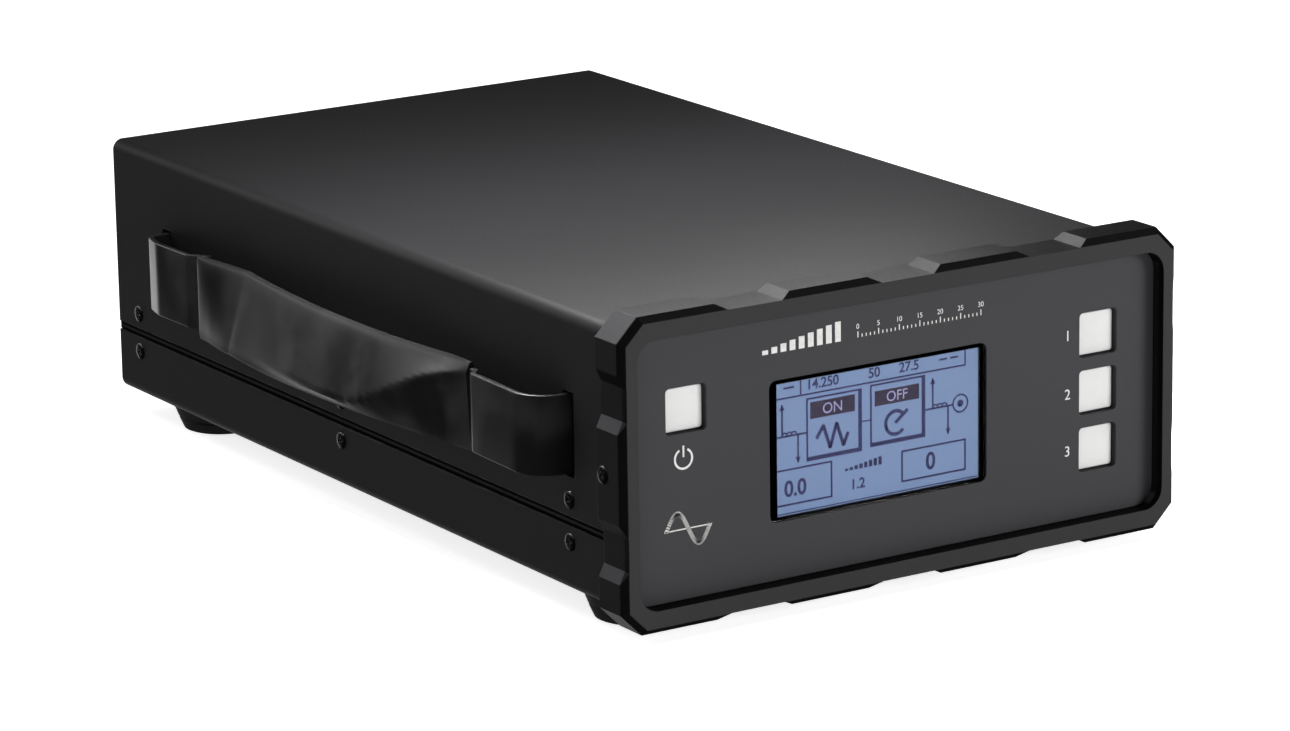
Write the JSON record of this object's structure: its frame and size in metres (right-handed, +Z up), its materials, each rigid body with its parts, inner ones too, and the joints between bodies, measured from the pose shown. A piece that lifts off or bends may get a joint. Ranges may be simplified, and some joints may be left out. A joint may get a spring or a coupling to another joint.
{
  "type": "hf linear amplifier",
  "caption": "Desktop HF linear amplifier: black sheet case with a rugged notched front bezel, blue display, square push keys, side carrying strap, rubber feet and fan-cooled rear.",
  "frame": {"origin": "middle of the overall footprint, on the surface that the feet stand on", "axes": "+X to the right as seen from the front, +Y from the front panel to the rear, +Z up"},
  "size_m": [0.1776, 0.2874, 0.0831],
  "materials": {
    "cover_paint": "satin black textured powder coat",
    "bezel_paint": "dark grey satin paint over cast aluminium",
    "panel_paint": "charcoal satin paint",
    "rail_metal": "black anodised extrusion",
    "black_screws": "black oxide",
    "foot_rubber": "matte black",
    "sheet_steel": "zinc plated",
    "display_black": "black coated sheet",
    "clear_window": "clear hard-coated acrylic",
    "display_cell": "blue-lit display cell",
    "backlight_plastic": "milky light guide",
    "board": "green solder mask",
    "black_plastic": "moulded black",
    "key_caps": "satin light grey",
    "strap_vinyl": "glossy black vinyl",
    "wire_chrome": "bright plated wire",
    "plated_screws": "zinc plated",
    "nickel": "nickel plated brass",
    "insulator": "white insulator",
    "contact_brass": "plain",
    "sink_aluminium": "extruded, plain",
    "ferrite": "dark grey ferrite",
    "coil_copper": "enamelled copper on ring cores",
    "cable_jacket": "flexible jacket",
    "ribbon": "grey flat cable"
  },
  "bodies": {
    "case": {"accessory_socket": "black_plastic", "amplifier_board": "board", "antenna_socket": "nickel", "bezel_side_screws": "black_screws", "board_screws": "plated_screws", "board_standoffs": "contact_brass", "bottom_pan": "cover_paint", "case_screws": "black_screws", "coax_leads": "cable_jacket", "control_board": "board", "control_jack": "nickel", "display_backlight": "backlight_plastic", "display_frame": "display_black", "display_glass": "display_cell", "display_window": "clear_window", "fan_frame": "black_plastic", "fan_guard": "wire_chrome", "fan_screws": "plated_screws", "filter_board": "board", "foot_screws": "black_screws", "frame_screws": "black_screws", "front_bezel": "bezel_paint", "front_bulkhead": "sheet_steel", "front_left_foot": "foot_rubber", "front_panel": "panel_paint", "front_right_foot": "foot_rubber", "ground_nuts": "contact_brass", "ground_stud": "contact_brass", "handle_grip": "strap_vinyl", "handle_strap": "strap_vinyl", "heatsink": "sink_aluminium", "heatsink_screws": "black_screws", "input_socket": "nickel", "input_transformer": "ferrite", "key_switches": "black_plastic", "left_side_rail": "rail_metal", "output_transformer": "ferrite", "power_inlet": "black_plastic", "power_inlet_pins": "contact_brass", "power_leads": "cable_jacket", "power_transistors": "black_plastic", "rear_left_foot": "foot_rubber", "rear_panel": "cover_paint", "rear_right_foot": "foot_rubber", "relays": "black_plastic", "ribbon_cable": "ribbon", "right_side_rail": "rail_metal", "socket_contacts": "contact_brass", "socket_insulators": "insulator", "socket_screws": "plated_screws", "strap_clamp_nuts": "sheet_steel", "strap_clamps": "sheet_steel", "top_cover": "cover_paint", "toroid_coils": "coil_copper", "tuner_board": "board"},
    "power_key_button": {"power_key": "key_caps"},
    "upper_key_button": {"upper_key": "key_caps"},
    "middle_key_button": {"middle_key": "key_caps"},
    "lower_key_button": {"lower_key": "key_caps"},
    "fan_rotor": {"fan_impeller": "black_plastic"}
  },
  "joints": [
    {"name": "power_key_press", "type": "slide", "parent": "case", "child": "power_key_button", "axis": [0, 1, 0], "range_m": [0, 0.0005], "stiffness_N_per_m": 2500},
    {"name": "upper_key_press", "type": "slide", "parent": "case", "child": "upper_key_button", "axis": [0, 1, 0], "range_m": [0, 0.0005], "stiffness_N_per_m": 2500},
    {"name": "middle_key_press", "type": "slide", "parent": "case", "child": "middle_key_button", "axis": [0, 1, 0], "range_m": [0, 0.0005], "stiffness_N_per_m": 2500},
    {"name": "lower_key_press", "type": "slide", "parent": "case", "child": "lower_key_button", "axis": [0, 1, 0], "range_m": [0, 0.0005], "stiffness_N_per_m": 2500},
    {"name": "fan_spin", "type": "hinge", "parent": "case", "child": "fan_rotor", "pos_m": [-0.03637, 0.11425, 0.04275], "axis": [0, 1, 0], "continuous": true}
  ]
}
